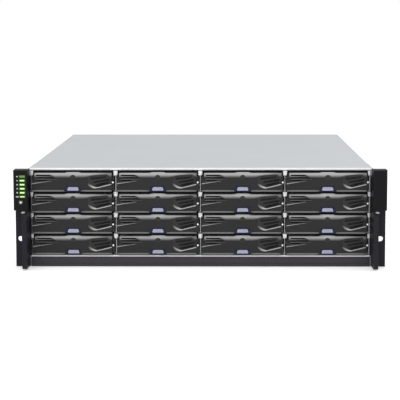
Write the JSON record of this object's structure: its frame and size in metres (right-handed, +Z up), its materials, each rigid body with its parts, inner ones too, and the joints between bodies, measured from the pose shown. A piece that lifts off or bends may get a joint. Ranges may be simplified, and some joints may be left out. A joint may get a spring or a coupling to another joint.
{
  "type": "disk shelf enclosure",
  "caption": "Rack mount disk shelf: plated steel chassis with a grid of sliding drive trays behind louvred swing flaps, two moulded rack ears, rear power modules and a controller",
  "frame": {"origin": "middle of the underside of the chassis pan, which is the face the shelf stands on", "axes": "+Z up, +X to the right of someone facing the trays, +Y from the trays to the rear; the rack's uprights bear on the plane 250 mm in front of the origin"},
  "size_m": [0.4826, 0.5576, 0.13],
  "materials": {
    "chassis_steel": "zinc plated, satin",
    "cover_steel": "zinc plated, satin",
    "bay_steel": "bright zinc plate",
    "sill_paint": "satin dark grey paint",
    "circuit_board": "solder mask",
    "ear_plastic": "fine satin black",
    "green_lens": "lit clear green",
    "button_black": "gloss black",
    "module_metal": "satin plated sheet",
    "tray_and_disk": "satin cast and plated metal",
    "flap_plastic": "satin charcoal",
    "button_blue": "soft gloss lavender blue"
  },
  "bodies": {
    "chassis": {"chassis_pan": "chassis_steel", "top_cover": "cover_steel", "bay_partitions": "bay_steel", "front_sill": "sill_paint", "left_ear": "ear_plastic", "right_ear": "ear_plastic", "status_lenses": "green_lens", "midplane_board": "circuit_board"},
    "mute": {"mute_button": "button_black"},
    "controller": {"controller_module": "module_metal"},
    "left_power": {"left_power_module": "module_metal"},
    "right_power": {"right_power_module": "module_metal"},
    "tray_01": {"disk_tray_01": "tray_and_disk"},
    "flap_01": {"tray_flap_01": "flap_plastic"},
    "release_01": {"release_button_01": "button_blue"},
    "tray_02": {"disk_tray_02": "tray_and_disk"},
    "flap_02": {"tray_flap_02": "flap_plastic"},
    "release_02": {"release_button_02": "button_blue"},
    "tray_03": {"disk_tray_03": "tray_and_disk"},
    "flap_03": {"tray_flap_03": "flap_plastic"},
    "release_03": {"release_button_03": "button_blue"},
    "tray_04": {"disk_tray_04": "tray_and_disk"},
    "flap_04": {"tray_flap_04": "flap_plastic"},
    "release_04": {"release_button_04": "button_blue"},
    "tray_05": {"disk_tray_05": "tray_and_disk"},
    "flap_05": {"tray_flap_05": "flap_plastic"},
    "release_05": {"release_button_05": "button_blue"},
    "tray_06": {"disk_tray_06": "tray_and_disk"},
    "flap_06": {"tray_flap_06": "flap_plastic"},
    "release_06": {"release_button_06": "button_blue"},
    "tray_07": {"disk_tray_07": "tray_and_disk"},
    "flap_07": {"tray_flap_07": "flap_plastic"},
    "release_07": {"release_button_07": "button_blue"},
    "tray_08": {"disk_tray_08": "tray_and_disk"},
    "flap_08": {"tray_flap_08": "flap_plastic"},
    "release_08": {"release_button_08": "button_blue"},
    "tray_09": {"disk_tray_09": "tray_and_disk"},
    "flap_09": {"tray_flap_09": "flap_plastic"},
    "release_09": {"release_button_09": "button_blue"},
    "tray_10": {"disk_tray_10": "tray_and_disk"},
    "flap_10": {"tray_flap_10": "flap_plastic"},
    "release_10": {"release_button_10": "button_blue"},
    "tray_11": {"disk_tray_11": "tray_and_disk"},
    "flap_11": {"tray_flap_11": "flap_plastic"},
    "release_11": {"release_button_11": "button_blue"},
    "tray_12": {"disk_tray_12": "tray_and_disk"},
    "flap_12": {"tray_flap_12": "flap_plastic"},
    "release_12": {"release_button_12": "button_blue"},
    "tray_13": {"disk_tray_13": "tray_and_disk"},
    "flap_13": {"tray_flap_13": "flap_plastic"},
    "release_13": {"release_button_13": "button_blue"},
    "tray_14": {"disk_tray_14": "tray_and_disk"},
    "flap_14": {"tray_flap_14": "flap_plastic"},
    "release_14": {"release_button_14": "button_blue"},
    "tray_15": {"disk_tray_15": "tray_and_disk"},
    "flap_15": {"tray_flap_15": "flap_plastic"},
    "release_15": {"release_button_15": "button_blue"},
    "tray_16": {"disk_tray_16": "tray_and_disk"},
    "flap_16": {"tray_flap_16": "flap_plastic"},
    "release_16": {"release_button_16": "button_blue"}
  },
  "joints": [
    {"name": "tray_slide_01", "type": "slide", "parent": "chassis", "child": "tray_01", "axis": [0, -1, 0], "range_m": [0, 0.2]},
    {"name": "flap_hinge_01", "type": "hinge", "parent": "tray_01", "child": "flap_01", "pos_m": [-0.214, -0.251, 0.1108], "axis": [0, 0, -1], "range_deg": [0, 45]},
    {"name": "release_press_01", "type": "slide", "parent": "flap_01", "child": "release_01", "axis": [0, 1, 0], "range_m": [0, 0.0025], "stiffness_N_per_m": 400, "springref_m": -0.001},
    {"name": "tray_slide_02", "type": "slide", "parent": "chassis", "child": "tray_02", "axis": [0, -1, 0], "range_m": [0, 0.2]},
    {"name": "flap_hinge_02", "type": "hinge", "parent": "tray_02", "child": "flap_02", "pos_m": [-0.1036, -0.251, 0.1108], "axis": [0, 0, -1], "range_deg": [0, 45]},
    {"name": "release_press_02", "type": "slide", "parent": "flap_02", "child": "release_02", "axis": [0, 1, 0], "range_m": [0, 0.0025], "stiffness_N_per_m": 400, "springref_m": -0.001},
    {"name": "tray_slide_03", "type": "slide", "parent": "chassis", "child": "tray_03", "axis": [0, -1, 0], "range_m": [0, 0.2]},
    {"name": "flap_hinge_03", "type": "hinge", "parent": "tray_03", "child": "flap_03", "pos_m": [0.0068, -0.251, 0.1108], "axis": [0, 0, -1], "range_deg": [0, 45]},
    {"name": "release_press_03", "type": "slide", "parent": "flap_03", "child": "release_03", "axis": [0, 1, 0], "range_m": [0, 0.0025], "stiffness_N_per_m": 400, "springref_m": -0.001},
    {"name": "tray_slide_04", "type": "slide", "parent": "chassis", "child": "tray_04", "axis": [0, -1, 0], "range_m": [0, 0.2]},
    {"name": "flap_hinge_04", "type": "hinge", "parent": "tray_04", "child": "flap_04", "pos_m": [0.1172, -0.251, 0.1108], "axis": [0, 0, -1], "range_deg": [0, 45]},
    {"name": "release_press_04", "type": "slide", "parent": "flap_04", "child": "release_04", "axis": [0, 1, 0], "range_m": [0, 0.0025], "stiffness_N_per_m": 400, "springref_m": -0.001},
    {"name": "tray_slide_05", "type": "slide", "parent": "chassis", "child": "tray_05", "axis": [0, -1, 0], "range_m": [0, 0.2]},
    {"name": "flap_hinge_05", "type": "hinge", "parent": "tray_05", "child": "flap_05", "pos_m": [-0.214, -0.251, 0.0832], "axis": [0, 0, -1], "range_deg": [0, 45]},
    {"name": "release_press_05", "type": "slide", "parent": "flap_05", "child": "release_05", "axis": [0, 1, 0], "range_m": [0, 0.0025], "stiffness_N_per_m": 400, "springref_m": -0.001},
    {"name": "tray_slide_06", "type": "slide", "parent": "chassis", "child": "tray_06", "axis": [0, -1, 0], "range_m": [0, 0.2]},
    {"name": "flap_hinge_06", "type": "hinge", "parent": "tray_06", "child": "flap_06", "pos_m": [-0.1036, -0.251, 0.0832], "axis": [0, 0, -1], "range_deg": [0, 45]},
    {"name": "release_press_06", "type": "slide", "parent": "flap_06", "child": "release_06", "axis": [0, 1, 0], "range_m": [0, 0.0025], "stiffness_N_per_m": 400, "springref_m": -0.001},
    {"name": "tray_slide_07", "type": "slide", "parent": "chassis", "child": "tray_07", "axis": [0, -1, 0], "range_m": [0, 0.2]},
    {"name": "flap_hinge_07", "type": "hinge", "parent": "tray_07", "child": "flap_07", "pos_m": [0.0068, -0.251, 0.0832], "axis": [0, 0, -1], "range_deg": [0, 45]},
    {"name": "release_press_07", "type": "slide", "parent": "flap_07", "child": "release_07", "axis": [0, 1, 0], "range_m": [0, 0.0025], "stiffness_N_per_m": 400, "springref_m": -0.001},
    {"name": "tray_slide_08", "type": "slide", "parent": "chassis", "child": "tray_08", "axis": [0, -1, 0], "range_m": [0, 0.2]},
    {"name": "flap_hinge_08", "type": "hinge", "parent": "tray_08", "child": "flap_08", "pos_m": [0.1172, -0.251, 0.0832], "axis": [0, 0, -1], "range_deg": [0, 45]},
    {"name": "release_press_08", "type": "slide", "parent": "flap_08", "child": "release_08", "axis": [0, 1, 0], "range_m": [0, 0.0025], "stiffness_N_per_m": 400, "springref_m": -0.001},
    {"name": "tray_slide_09", "type": "slide", "parent": "chassis", "child": "tray_09", "axis": [0, -1, 0], "range_m": [0, 0.2]},
    {"name": "flap_hinge_09", "type": "hinge", "parent": "tray_09", "child": "flap_09", "pos_m": [-0.214, -0.251, 0.0556], "axis": [0, 0, -1], "range_deg": [0, 45]},
    {"name": "release_press_09", "type": "slide", "parent": "flap_09", "child": "release_09", "axis": [0, 1, 0], "range_m": [0, 0.0025], "stiffness_N_per_m": 400, "springref_m": -0.001},
    {"name": "tray_slide_10", "type": "slide", "parent": "chassis", "child": "tray_10", "axis": [0, -1, 0], "range_m": [0, 0.2]},
    {"name": "flap_hinge_10", "type": "hinge", "parent": "tray_10", "child": "flap_10", "pos_m": [-0.1036, -0.251, 0.0556], "axis": [0, 0, -1], "range_deg": [0, 45]},
    {"name": "release_press_10", "type": "slide", "parent": "flap_10", "child": "release_10", "axis": [0, 1, 0], "range_m": [0, 0.0025], "stiffness_N_per_m": 400, "springref_m": -0.001},
    {"name": "tray_slide_11", "type": "slide", "parent": "chassis", "child": "tray_11", "axis": [0, -1, 0], "range_m": [0, 0.2]},
    {"name": "flap_hinge_11", "type": "hinge", "parent": "tray_11", "child": "flap_11", "pos_m": [0.0068, -0.251, 0.0556], "axis": [0, 0, -1], "range_deg": [0, 45]},
    {"name": "release_press_11", "type": "slide", "parent": "flap_11", "child": "release_11", "axis": [0, 1, 0], "range_m": [0, 0.0025], "stiffness_N_per_m": 400, "springref_m": -0.001},
    {"name": "tray_slide_12", "type": "slide", "parent": "chassis", "child": "tray_12", "axis": [0, -1, 0], "range_m": [0, 0.2]},
    {"name": "flap_hinge_12", "type": "hinge", "parent": "tray_12", "child": "flap_12", "pos_m": [0.1172, -0.251, 0.0556], "axis": [0, 0, -1], "range_deg": [0, 45]},
    {"name": "release_press_12", "type": "slide", "parent": "flap_12", "child": "release_12", "axis": [0, 1, 0], "range_m": [0, 0.0025], "stiffness_N_per_m": 400, "springref_m": -0.001},
    {"name": "tray_slide_13", "type": "slide", "parent": "chassis", "child": "tray_13", "axis": [0, -1, 0], "range_m": [0, 0.2]},
    {"name": "flap_hinge_13", "type": "hinge", "parent": "tray_13", "child": "flap_13", "pos_m": [-0.214, -0.251, 0.028], "axis": [0, 0, -1], "range_deg": [0, 45]},
    {"name": "release_press_13", "type": "slide", "parent": "flap_13", "child": "release_13", "axis": [0, 1, 0], "range_m": [0, 0.0025], "stiffness_N_per_m": 400, "springref_m": -0.001},
    {"name": "tray_slide_14", "type": "slide", "parent": "chassis", "child": "tray_14", "axis": [0, -1, 0], "range_m": [0, 0.2]},
    {"name": "flap_hinge_14", "type": "hinge", "parent": "tray_14", "child": "flap_14", "pos_m": [-0.1036, -0.251, 0.028], "axis": [0, 0, -1], "range_deg": [0, 45]},
    {"name": "release_press_14", "type": "slide", "parent": "flap_14", "child": "release_14", "axis": [0, 1, 0], "range_m": [0, 0.0025], "stiffness_N_per_m": 400, "springref_m": -0.001},
    {"name": "tray_slide_15", "type": "slide", "parent": "chassis", "child": "tray_15", "axis": [0, -1, 0], "range_m": [0, 0.2]},
    {"name": "flap_hinge_15", "type": "hinge", "parent": "tray_15", "child": "flap_15", "pos_m": [0.0068, -0.251, 0.028], "axis": [0, 0, -1], "range_deg": [0, 45]},
    {"name": "release_press_15", "type": "slide", "parent": "flap_15", "child": "release_15", "axis": [0, 1, 0], "range_m": [0, 0.0025], "stiffness_N_per_m": 400, "springref_m": -0.001},
    {"name": "tray_slide_16", "type": "slide", "parent": "chassis", "child": "tray_16", "axis": [0, -1, 0], "range_m": [0, 0.2]},
    {"name": "flap_hinge_16", "type": "hinge", "parent": "tray_16", "child": "flap_16", "pos_m": [0.1172, -0.251, 0.028], "axis": [0, 0, -1], "range_deg": [0, 45]},
    {"name": "release_press_16", "type": "slide", "parent": "flap_16", "child": "release_16", "axis": [0, 1, 0], "range_m": [0, 0.0025], "stiffness_N_per_m": 400, "springref_m": -0.001},
    {"name": "mute_press", "type": "slide", "parent": "chassis", "child": "mute", "axis": [0, 1, 0], "range_m": [0, 0.0012], "stiffness_N_per_m": 600, "springref_m": -0.0005},
    {"name": "controller_slide", "type": "slide", "parent": "chassis", "child": "controller", "axis": [0, 1, 0], "range_m": [0, 0.32]},
    {"name": "left_power_slide", "type": "slide", "parent": "chassis", "child": "left_power", "axis": [0, 1, 0], "range_m": [0, 0.32]},
    {"name": "right_power_slide", "type": "slide", "parent": "chassis", "child": "right_power", "axis": [0, 1, 0], "range_m": [0, 0.32]}
  ]
}
